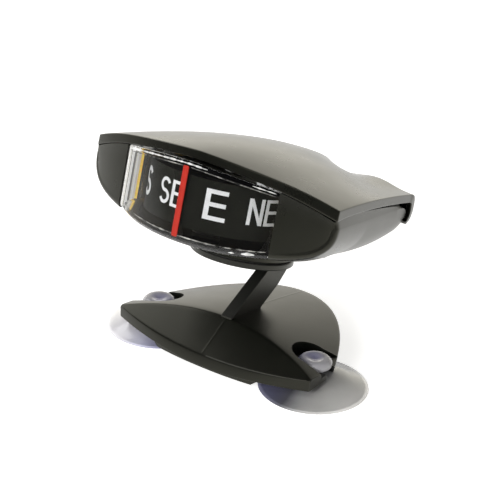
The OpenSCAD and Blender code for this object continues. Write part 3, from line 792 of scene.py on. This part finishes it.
def cell_cutters():
    """The square cells that core the foot from below, wherever there is room for one."""
    cutters, c = [], CELL_HALF
    for i in range(-3, 4):
        for j in range(-1, 5):
            cx, cy = i * CELL_PITCH, j * CELL_PITCH + CELL_START
            out = abs(cx) + c
            z = min(foot_z(cx + a * c, cy + b * c) for a in (-1, 1) for b in (-1, 1)) - CELL_WALL
            inside = cy - c > front_line(out / FOOT_HALF) + CELL_WALL and cy + c < rear_line(out) - CELL_WALL
            clear = math.hypot(abs(cx) - POCKET_X, cy - POCKET_Y) > CELL_CLEAR
            if inside and clear and z > FOOT_LOW + 1.5:
                square = [(cx - c, cy - c), (cx + c, cy - c), (cx + c, cy + c), (cx - c, cy + c)]
                cutters.append(prism("cell", square, FOOT_LOW - 2, z, on_floor))
    return cutters


def foot():
    """The moulded foot on its plinth, with the cups' openings and the cells of its underside."""
    ob = foot_body()
    for mat in (STAND, STAND_PAINTED_HIGHLIGHT):
        ob.data.materials.append(mat)
    xs = span(-36, 36, 48)
    line = [(x, front_line(x / FOOT_HALF) + 1) for x in xs] + [(-x, rear_line(x) - 2) for x in xs]
    plinth = prism("plinth", line, FOOT_LOW - 1, FOOT_LOW + 2.8, on_floor)
    ease = [(0, 0), (27, 0), (16, 12), (0, 12)]
    boolean(plinth, [revolve("ease", ease, (e * CUP_X, 0), on_floor) for e in (-1, 1)])
    boolean(ob, [plinth], "UNION")
    return boolean(ob, cup_cutters(-1) + cup_cutters(1) + cell_cutters())


# The arm's outline in y and z, and the lower swivel disc's profile
ARM = [(-6, 11.7), (-5.6, 18.2), (15.4, 29.3), (18.6, 31.8), (19.6, 34.5), (18.5, 36.9), (8, 39.6), (8, 40.6),
       (18, 38.1), (24, 36.9), (29, 34.8), (31.6, 31.6), (31.6, 28.6), (29.8, 25.6), (24.3, 21.3), (13.6, 15.6),
       (12, 11.7)]
DISC = [(0, -2.4), (4.5, -2.4), (5, -1.9), (5, 0), (DISC_R - 0.5, 0), (DISC_R, 0.4), (DISC_R, DISC_T - 0.3),
        (DISC_R - 0.3, DISC_T), (0, DISC_T)]


def stand():
    """Foot, arm and lower swivel disc in one moulding, with the swivel screw's thread hole."""
    ob = foot()
    s, n = Sheet(), len(ARM)
    s.verts = [(x, y, z) for x in (-ARM_T / 2, ARM_T / 2) for y, z in ARM]
    s.faces = [tuple(range(n)), tuple(range(n, 2 * n))[::-1]] + walls_between(n)
    s.slots = [0] * len(s.faces)
    arm = soften(s.body("arm", on_floor), 0.3, 30, 2)
    boolean(ob, [arm, revolve("disc", DISC, (0, 0), on_head)], "UNION")
    boolean(ob, [prism("thread", circle(0, 0, 2, 32), -1.9, 7, on_head)])
    ob.name = ob.data.name = "stand_body"
    return ob


def cup(name, side):
    """A suction cup: dome with a thin rim, neck in the foot's slot, and flat head with a dished top."""
    r, neck, head, plate, top = CUP_R, NECK_R, CUP_HEAD_R, PLATE_TOP, CUP_TOP
    under = [(0, 3.6), (4, 3.3), (9, 2.4), (14, 1.1), (r - 1.5, 0), (r - 0.5, 0)]
    rim = [(r - 0.12, 0.06), (r, 0.25), (r - 0.08, 0.5), (r - 0.5, 0.85)]
    dome = [(17.4, 1.75), (15, 2.9), (12.7, 3.95), (10.5, 4.7), (8.6, 5.3), (7, 5.8), (5.4, 6.1),
            (neck + 0.4, 6.22), (neck, 6.5), (neck, 7.9), (neck + 0.3, plate + 0.02)]
    button = [(head - 0.5, plate + 0.02), (head - 0.1, plate + 0.15), (head, plate + 0.5), (head, top - 1.6),
              (head - 0.15, top - 1.15), (head - 1.3, top - 0.15), (head - 1.8, top), (3.6, top),
              (3.0, top - 0.08), (1.5, top - 0.62), (0, top - 0.9)]
    return revolve(name, under + rim + dome + button, (side * CUP_X, 0), on_floor)


# Materials, all procedural, in the objects' own coordinates

def feed(nt, node, inputs):
    """Sets a node's inputs, given by name or number, to values, or links them to other nodes' outputs."""
    for key, value in inputs.items():
        if isinstance(value, bpy.types.NodeSocket):
            nt.links.new(value, node.inputs[key])
        else:
            node.inputs[key].default_value = value
    return node


def add(nt, kind, inputs=None, **settings):
    node = nt.nodes.new(kind)
    for key, value in settings.items():
        setattr(node, key, value)
    return feed(nt, node, inputs or {})


def new_material(name):
    mat = bpy.data.materials.new(name)
    mat.use_nodes = True
    return mat, mat.node_tree, mat.node_tree.nodes["Principled BSDF"]


def own_place(nt):
    return add(nt, "ShaderNodeTexCoord").outputs["Object"]


def noise(nt, scale, detail, roughness=0.5):
    inputs = {"Vector": own_place(nt), "Scale": scale, "Detail": detail, "Roughness": roughness}
    return add(nt, "ShaderNodeTexNoise", inputs).outputs["Fac"]


def map_range(nt, value, start, stop, low=0.0, high=1.0, **settings):
    inputs = {"Value": value, "From Min": start, "From Max": stop, "To Min": low, "To Max": high}
    return add(nt, "ShaderNodeMapRange", inputs, **settings).outputs["Result"]


def arithmetic(nt, operation, *values):
    return add(nt, "ShaderNodeMath", dict(enumerate(values)), operation=operation).outputs[0]


def ramp(nt, value, stops):
    """Colours over a value, from (place, colour) stops."""
    node = add(nt, "ShaderNodeValToRGB", {"Fac": value})
    elements = node.color_ramp.elements
    while len(elements) < len(stops):
        elements.new(0.5)
    for element, (place, colour) in zip(elements, stops):
        element.position, element.color = place, (*colour, 1)
    return node.outputs["Color"]


def mixed(nt, factor, a, b, blend_type="MIX"):
    """Two colours mixed, or multiplied with the blend type MULTIPLY."""
    inputs = {"Factor": factor, 6: a, 7: b}
    return add(nt, "ShaderNodeMix", inputs, data_type="RGBA", blend_type=blend_type).outputs[2]


def bump(nt, height, strength, distance):
    inputs = {"Height": height, "Strength": strength, "Distance": distance}
    return add(nt, "ShaderNodeBump", inputs).outputs["Normal"]


# The faint warm tint of the plastics' gloss, and how much light the clear plastic lets through
SHEEN, LET_THROUGH = (1, 0.98, 0.80, 1), 0.9


def plastic(name, dark, light, rough, grain, grain_scale, wear=0.0, spec=0.5):
    """Moulded plastic: a faint mottle, fine spark-eroded grain and, where wear is given, lighter edges."""
    mat, nt, shader = new_material(name)
    mottle = noise(nt, 45.0, 4.0, 0.6)
    colour = ramp(nt, mottle, [(0.35, dark), (0.65, light)])
    if wear:
        corners = add(nt, "ShaderNodeNewGeometry").outputs["Pointiness"]
        edge = ramp(nt, corners, [(0.52, (0, 0, 0)), (0.60, (1, 1, 1))])
        colour = mixed(nt, edge, colour, tuple(c + wear for c in light) + (1,))
    feed(nt, shader, {"Base Color": colour, "Normal": bump(nt, noise(nt, grain_scale, 2.0), grain, 0.00005),
                      "Roughness": map_range(nt, mottle, 0.3, 0.7, rough - 0.02, rough + 0.03),
                      "Specular IOR Level": spec, "Specular Tint": SHEEN})
    return mat


def metal(name, dark, light, rough):
    """Turned metal: fine rings of tool marks and a little tarnish."""
    mat, nt, shader = new_material(name)
    rings = add(nt, "ShaderNodeTexWave", {"Vector": own_place(nt), "Scale": 900.0, "Distortion": 1.0},
                wave_type="RINGS", rings_direction="Z").outputs["Fac"]
    feed(nt, shader, {"Base Color": ramp(nt, noise(nt, 300.0, 5.0), [(0.35, dark), (0.7, light)]),
                      "Normal": bump(nt, rings, 0.1, 0.00003), "Metallic": 1.0, "Roughness": rough})
    return mat


def see_through(name, tint, low, high, ior):
    """Clear plastic. Lamps shine through it in their shadow rays, so that what is behind it is lit."""
    mat, nt, shader = new_material(name)
    haze = noise(nt, 120.0, 3.0)
    feed(nt, shader, {"Base Color": ramp(nt, haze, [(0.3, tint), (0.7, tuple(min(1, c * 1.02) for c in tint))]),
                      "Roughness": map_range(nt, haze, 0, 1, low, high), "Transmission Weight": 1.0, "IOR": ior})
    shadow = add(nt, "ShaderNodeLightPath").outputs["Is Shadow Ray"]
    clear = add(nt, "ShaderNodeBsdfTransparent", {"Color": (LET_THROUGH, LET_THROUGH, LET_THROUGH, 1)})
    both = add(nt, "ShaderNodeMixShader", {0: shadow, 1: shader.outputs[0], 2: clear.outputs[0]})
    feed(nt, nt.nodes["Material Output"], {"Surface": both.outputs[0]})
    return mat


def paint(name, dark, light, rough, glow=0.0):
    """A printed or moulded-in colour; glow is a painted glow that stands in for light that the clear walls would
    lead to it.
    """
    mat, nt, shader = new_material(name)
    mottle = noise(nt, 400.0, 4.0)
    tone = ramp(nt, mottle, [(0.3, dark), (0.7, light)])
    feed(nt, shader, {"Base Color": tone, "Normal": bump(nt, mottle, 0.08, 0.00004), "Roughness": rough})
    if glow:
        feed(nt, shader, {"Emission Color": tone, "Emission Strength": glow})
    return mat


def streaked(name, dark, light, scale, start, stop):
    """Clear plastic painted with highlights: colour in broken streaks from dark to light that stands in for the
    light it catches.
    """
    mat, nt, shader = new_material(name)
    tone = ramp(nt, noise(nt, scale, 3.0, 0.7), [(start, dark), (stop, light)])
    feed(nt, shader, {"Base Color": tone, "Roughness": 0.2})
    return mat


# Tones of the vinyl from the middle of the foot outwards, on the heads and on the dome of either cup, with
# painted shade where the cups lie in under the foot, the left dome painted lighter and the right one painted
# darker with a painted shadow of the foot's rim, and what they are multiplied with from a cup's axis outwards
HEAD_SHADE_TONES = [(0.0, (0.10, 0.10, 0.20)), (0.25, (0.16, 0.16, 0.29)), (0.42, (0.31, 0.31, 0.42)),
              (0.60, (0.42, 0.41, 0.44)), (1.0, (0.93, 0.92, 0.92))]
LEFT_LIT_TONES = [(0.0, (0.18, 0.18, 0.29)), (0.25, (0.30, 0.30, 0.43)), (0.42, (0.50, 0.50, 0.60)),
              (0.60, (0.58, 0.57, 0.61)), (1.0, (0.92, 0.91, 0.92))]
RIGHT_SHADED_TONES = [(0.0, (0.14, 0.14, 0.24)), (0.25, (0.11, 0.11, 0.18)), (0.42, (0.085, 0.085, 0.125)),
               (0.54, (0.08, 0.08, 0.095)), (0.64, (0.25, 0.25, 0.255)), (0.80, (0.44, 0.435, 0.42)),
               (1.0, (0.68, 0.67, 0.65))]
AXIS_TONES = [(0.0, (0.55, 0.55, 0.80)), (0.26, (0.85, 0.85, 0.97)), (0.42, (1.0, 1.0, 1.0))]
# In metres: where the tones of painted shade begin and end to the side, where a dome ends and its head begins in
# height, and how far from its axis a cup is darker
TONES_FROM, TONES_TO, DOME_TOP, HEAD_FROM, AXIS_REACH = 0.018, 0.058, 0.0065, 0.0085, 0.010


def vinyl(name, painted_dome_tones):
    """Milky clear vinyl with painted shade: violet and darker where it lies in under the foot, paler towards the
    outer rim, and darker and more violet towards each cup's axis.
    """
    mat, nt, shader = new_material(name)
    at = add(nt, "ShaderNodeSeparateXYZ", {0: own_place(nt)})
    out = arithmetic(nt, "ABSOLUTE", at.outputs["X"])
    mottled = arithmetic(nt, "MULTIPLY_ADD", noise(nt, 60.0, 3.0), 0.006, out)
    share = map_range(nt, mottled, TONES_FROM, TONES_TO)
    height = map_range(nt, at.outputs["Z"], DOME_TOP, HEAD_FROM)
    body = mixed(nt, height, ramp(nt, share, painted_dome_tones), ramp(nt, share, HEAD_SHADE_TONES))
    side = arithmetic(nt, "SUBTRACT", out, CUP_X * MM)
    back = arithmetic(nt, "ADD", at.outputs["Y"], MIDDLE_Y * MM)
    from_axis = add(nt, "ShaderNodeCombineXYZ", {0: side, 1: back}).outputs[0]
    away = add(nt, "ShaderNodeVectorMath", {0: from_axis}, operation="LENGTH").outputs["Value"]
    axis = ramp(nt, map_range(nt, away, 0.0, AXIS_REACH), AXIS_TONES)
    feed(nt, shader, {"Base Color": mixed(nt, 1, body, axis, "MULTIPLY"), "Roughness": 0.16,
                      "Transmission Weight": 0.3, "IOR": 1.47})
    return mat


# Plastics: darker and lighter tone, roughness, depth and scale of the grain, wear
SHELL = plastic("shell_plastic", (0.0036, 0.0039, 0.0029), (0.0050, 0.0053, 0.0042), 0.28, 0.08, 1400, 0.006,
                spec=0.47)
STAND = plastic("stand_plastic", (0.0030, 0.0033, 0.0025), (0.0044, 0.0047, 0.0037), 0.34, 0.16, 1300, 0.03,
                spec=0.37)
# A lighter copy of the stand's plastic: a painted highlight along the front edge
STAND_PAINTED_HIGHLIGHT = plastic("stand_painted_highlight", (0.030, 0.030, 0.027), (0.045, 0.045, 0.040), 0.3, 0.1, 1300, spec=0.4)
INNER = plastic("inner_plastic", (0.010, 0.010, 0.0095), (0.014, 0.014, 0.013), 0.5, 0.1, 1200)
CARD = plastic("card_plastic", (0.0080, 0.0084, 0.0066), (0.0105, 0.0110, 0.0088), 0.6, 0.06, 1800, spec=0.2)
RUBBER = plastic("gasket_rubber", (0.012, 0.012, 0.012), (0.02, 0.02, 0.02), 0.75, 0.3, 900)
WASHER = plastic("washer_nylon", (0.05, 0.05, 0.048), (0.07, 0.07, 0.066), 0.5, 0.1, 1100)
JEWEL = plastic("jewel_ruby", (0.35, 0.02, 0.05), (0.5, 0.04, 0.09), 0.12, 0.02, 900)
BRASS = metal("rotor_brass", (0.55, 0.38, 0.15), (0.72, 0.53, 0.24), 0.32)
STEEL = metal("screw_steel", (0.42, 0.42, 0.42), (0.6, 0.6, 0.6), 0.3)
# The capsule against the air, and its inner faces against the liquid, which bends light almost as much
OUTER_CLEAR = see_through("capsule_clear", (0.985, 0.99, 0.985), 0.0, 0.012, 1.49)
INNER_CLEAR = see_through("capsule_wet_face", (0.985, 0.99, 0.985), 0.0, 0.0, 1.028)
# Each cup has its own copy: the left one painted lighter, the right one painted darker, as the light falls on
# them
PVC_LEFT_LIT = vinyl("cup_vinyl_left_lit", LEFT_LIT_TONES)
PVC_RIGHT_SHADED = vinyl("cup_vinyl_right_shaded", RIGHT_SHADED_TONES)
# The clear ribs as lit, half-lit and shaded copies: painted highlight, painted half light and painted shade
RIB_PAINTED_HIGHLIGHT = paint("rib_painted_highlight", (0.95, 0.94, 0.90), (1.0, 0.995, 0.97), 0.22, 0.35)
RIB_PAINTED_HALF_LIGHT = paint("rib_painted_half_light", (0.66, 0.64, 0.57), (0.84, 0.82, 0.75), 0.25, 0.32)
RIB_PAINTED_SHADE = paint("rib_painted_shade", (0.10, 0.10, 0.08), (0.22, 0.21, 0.18), 0.25)
# The amber strip's own tint, with a painted glow standing in for light led through the clear wall
AMBER = paint("rib_amber", (0.97, 0.50, 0.02), (1.0, 0.74, 0.12), 0.35, 0.5)
PAINTED_GLINT = streaked("painted_glint", (0.10, 0.10, 0.09), (0.95, 0.95, 0.93), 90.0, 0.36, 0.54)
BEAD_PAINTED_STREAKS = streaked("bead_painted_streaks", (0.015, 0.015, 0.013), (0.80, 0.79, 0.74), 170.0, 0.42, 0.66)
RED = paint("lubber_red", (0.34, 0.014, 0.006), (0.40, 0.018, 0.008), 0.4)
WHITE = paint("letter_white", (0.80, 0.81, 0.82), (0.86, 0.87, 0.88), 0.5)


def finish_piece(ob, body, nodes, mats, angle):
    """Dresses a piece, smooths what is flatter than angle, hangs it on its body and hides the CAD nodes that it
    replaces.
    """
    for m in mats:
        ob.data.materials.append(m)
    ob.data.shade_smooth()
    ob.data.set_sharp_from_angle(angle=math.radians(angle))
    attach(ob, body)
    if nodes:
        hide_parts(*nodes)
    return ob


finish_piece(top_cover(), "head", ["top_shell"], [SHELL], 60)
finish_piece(lower_cover(), "head", ["lower_shell"], [SHELL], 30)
finish_piece(capsule(), "head", ["capsule_body"], [OUTER_CLEAR, INNER_CLEAR], 30)
ribs = finish_piece(end_ribs(), "head", [], [RIB_PAINTED_HIGHLIGHT, RIB_PAINTED_HALF_LIGHT, RIB_PAINTED_SHADE, AMBER], 20)
# The glow of the ribs is for the eye alone and doesn't light the letters
ribs.visible_diffuse = False
finish_piece(painted_highlight_beads(), "head", [], [BEAD_PAINTED_STREAKS, PAINTED_GLINT], 60)
finish_piece(letters(), "card", [], [WHITE], 30)
finish_piece(lubber(), "head", ["lubber_line"], [RED], 30)
# The stand gets its two materials in foot(), before the Booleans
finish_piece(stand(), "base", ["stand"], [], 20)
finish_piece(cup("cup_left", -1), "base", ["suction_cup_left"], [PVC_LEFT_LIT], 40)
finish_piece(cup("cup_right", 1), "base", ["suction_cup_right"], [PVC_RIGHT_SHADED], 40)

# Solids of the CAD that are shown as they are
KEPT = {"capsule_gasket": RUBBER, "capsule_back": INNER, "filler_plug": INNER, "expansion_diaphragm": RUBBER,
        "pivot_post": INNER, "pivot_pin": STEEL, "jewel_cup": JEWEL, "card_hub": INNER, "card_drum": CARD,
        "card_magnets": STEEL, "compensator_block": INNER, "compensator_ns": BRASS, "compensator_ew": BRASS,
        "compensator_magnet_ns": STEEL, "compensator_magnet_ew": STEEL, "block_screws": STEEL,
        "shell_screws": STEEL, "swivel_screw": STEEL, "spring_washer": STEEL, "thrust_washer": WASHER}
for node, mat in KEPT.items():
    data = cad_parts[node].data
    data.materials.clear()
    data.materials.append(mat)


# Floor in millimetres, light and camera in metres
FLOOR_HALF, FLOOR_GLOW = 4000, 0.74


def floor():
    """A white floor. Seen directly it is even; what it throws on the object fades towards the front."""
    s = Sheet()
    marks = span(-FLOOR_HALF, FLOOR_HALF, 16)
    s.grid([[(x, y, 0) for x in marks] for y in marks])
    ob = obj_of("floor", s.mesh("floor", lambda p: Vector(p) * MM))
    mat, nt, shader = new_material("floor_white")
    depth = add(nt, "ShaderNodeSeparateXYZ", {0: own_place(nt)}).outputs["Y"]
    fade = map_range(nt, depth, -0.35, 0.15, 0.10, 0.95, interpolation_type="SMOOTHSTEP")
    seen = add(nt, "ShaderNodeLightPath").outputs["Is Camera Ray"]
    glow = add(nt, "ShaderNodeMix", {0: seen, 2: fade, 3: FLOOR_GLOW}, data_type="FLOAT").outputs[0]
    tone = ramp(nt, noise(nt, 3.0, 2.0), [(0.3, (0.78, 0.78, 0.77)), (0.7, (0.8, 0.8, 0.79))])
    feed(nt, shader, {"Base Color": tone, "Roughness": 0.9, "Specular IOR Level": 0.1,
                      "Emission Color": (1, 0.995, 0.985, 1), "Emission Strength": glow})
    ob.data.materials.append(mat)


def studio():
    """Light from all round: bright low behind the object and to its left, dim in front, dark overhead."""
    world = bpy.data.worlds.new("studio")
    bpy.context.scene.world = world
    world.use_nodes = True
    nt = world.node_tree
    sky = add(nt, "ShaderNodeTexCoord").outputs["Generated"]

    def toward(direction, stops):
        """Light by the angle to a direction, from 0 straight away from it to 1 straight towards it."""
        inputs = {0: sky, 1: Vector(direction).normalized()}
        dot = add(nt, "ShaderNodeVectorMath", inputs, operation="DOT_PRODUCT").outputs["Value"]
        return ramp(nt, map_range(nt, dot, -1, 1), stops)

    rear = toward((-0.55, 0.83, 0.0),
                  [(0.3, (0.10, 0.10, 0.105)), (0.72, (0.85, 0.83, 0.78)), (1.0, (2.3, 2.22, 1.98))])
    up = toward((0, 0, 1), [(0.5, (1, 1, 1)), (0.62, (0.8, 0.8, 0.8)), (0.80, (0.10, 0.10, 0.10)),
                            (1.0, (0.03, 0.03, 0.03))])
    # The camera itself sees plain white
    seen = add(nt, "ShaderNodeLightPath").outputs["Is Camera Ray"]
    colour = mixed(nt, seen, mixed(nt, 1, rear, up, "MULTIPLY"), (1, 1, 1, 1))
    feed(nt, nt.nodes["Background"], {"Color": colour, "Strength": 1.0})


def soft_light(name, at, aim, size, watts, glossy):
    """A soft rectangular lamp that the camera doesn't see, nor the gloss of the object unless glossy is set."""
    lamp = bpy.data.lights.new(name, "AREA")
    lamp.shape, lamp.size, lamp.size_y, lamp.energy = "RECTANGLE", *size, watts
    ob = obj_of(name, lamp)
    ob.location = at
    ob.rotation_euler = (Vector(aim) - Vector(at)).to_track_quat("-Z", "Y").to_euler()
    ob.visible_camera = False
    ob.visible_glossy = glossy
    # Clear plastic lets the lamps shine through in their shadow rays, so refracted rays leave them out
    ob.visible_transmission = False


floor()
studio()
soft_light("front_light", (0.01, -0.95, 0.44), (0, 0, 0.06), (0.5, 0.4), 9.0, False)
soft_light("left_light", (-0.75, 0.05, 0.75), (0, 0, 0.03), (0.5, 0.4), 2.5, True)
soft_light("high_front_light", (0.1, -0.6, 1.0), (0, 0, 0.06), (0.9, 0.5), 3.5, True)

# The photograph's view, solved from points on cups, foot and head
CAMERA_PLACE = ((0.80516, -0.28353, 0.52089, 0.28669), (0.59132, 0.31675, -0.74162, -0.40771),
                (0.04529, 0.90514, 0.42269, 0.27387), (0, 0, 0, 1))
camera = bpy.data.cameras.new("camera")
camera.lens, camera.sensor_width = 105.44, 36
camera.clip_start, camera.clip_end = 0.01, 20
cam = obj_of("camera", camera)
cam.matrix_world = Matrix(CAMERA_PLACE)
scene = bpy.context.scene
scene.camera = cam
scene.view_settings.view_transform = "Standard"
# Enough bounces for the light to pass the capsule's walls and the liquid, in and out
scene.cycles.max_bounces = 24
scene.cycles.transmission_bounces = 20
scene.cycles.transparent_max_bounces = 16
